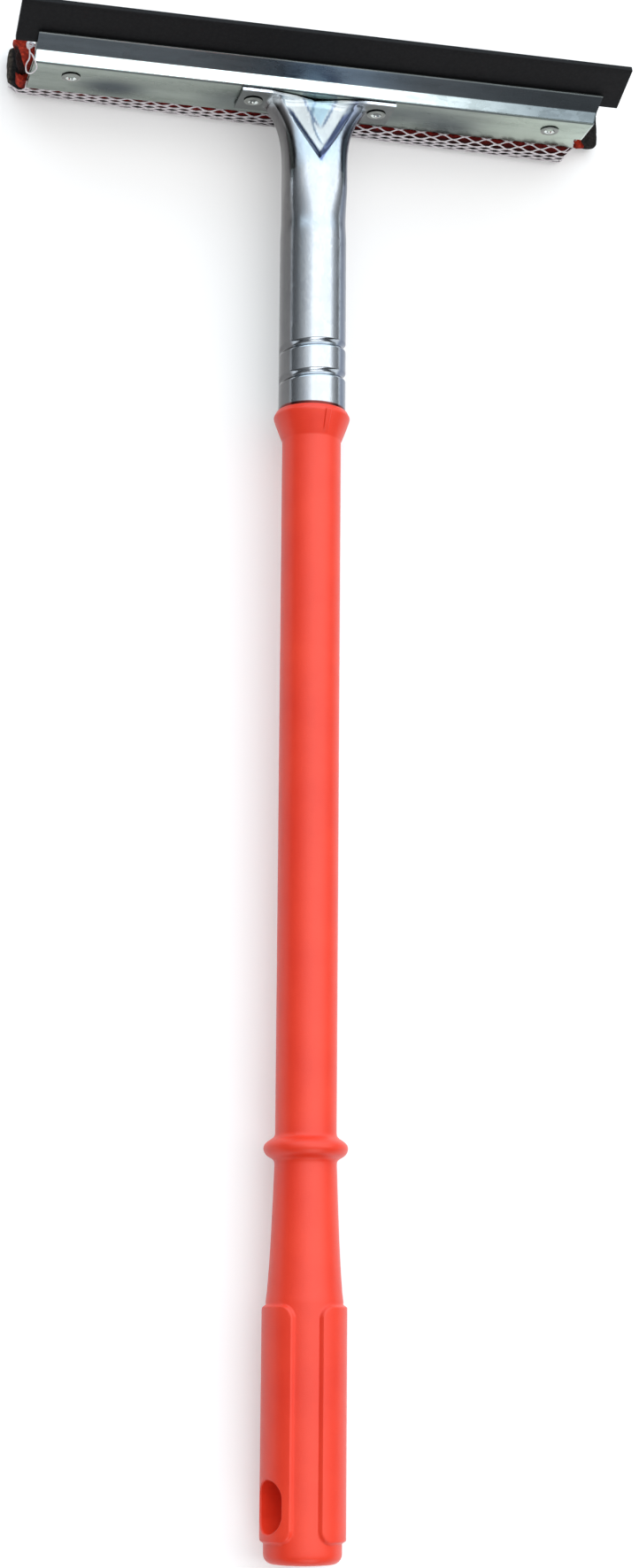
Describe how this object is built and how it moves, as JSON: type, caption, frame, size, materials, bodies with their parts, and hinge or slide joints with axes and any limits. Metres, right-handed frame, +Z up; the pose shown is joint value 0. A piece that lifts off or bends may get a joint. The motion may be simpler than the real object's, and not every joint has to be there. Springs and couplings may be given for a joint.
{
  "type": "windscreen squeegee",
  "caption": "Long-handled windscreen squeegee with a rubber blade clamped in a folded steel head and a netted foam scrubber behind it.",
  "frame": {"origin": "centre of the footprint, on the surface that the tool lies on", "axes": "+Y along the handle towards the head, +X along the blade, +Z up, out of the face with the blade and the neck's dent"},
  "size_m": [0.2032, 0.4862, 0.0497],
  "materials": {
    "handle_plastic": "satin red-orange moulding",
    "plug_plastic": "matte ivory",
    "steel_sheet": "galvanised sheet",
    "rivet_steel": "plated",
    "blade_rubber": "matte black",
    "red_foam": "open cell foam",
    "dark_foam": "open cell foam",
    "net_thread": "white plastic thread"
  },
  "bodies": {
    "head": {"neck_socket": "steel_sheet", "front_plate": "steel_sheet", "rear_plate": "steel_sheet", "rubber_blade": "blade_rubber", "sponge_pad": "red_foam", "scrub_layer": "dark_foam", "net_cover": "net_thread", "rivet_left_outer": "rivet_steel", "rivet_left_inner": "rivet_steel", "rivet_right_inner": "rivet_steel", "rivet_right_outer": "rivet_steel"},
    "plug": {"mouth_plug": "plug_plastic"},
    "handle": {"handle": "handle_plastic"}
  },
  "joints": [
    {"name": "handle_travel", "type": "slide", "parent": "head", "child": "plug", "axis": [0, -0.9999, -0.0159], "range_m": [0, 0.018]},
    {"name": "handle_turn", "type": "hinge", "parent": "plug", "child": "handle", "pos_m": [0, -0.1188, 0.01497], "axis": [0, -0.9999, -0.0159], "range_deg": [0, 1260]}
  ],
  "couplings": [
    {"joint": "handle_travel", "follows": "handle_turn", "m_per_rad": 0.00080851}
  ]
}
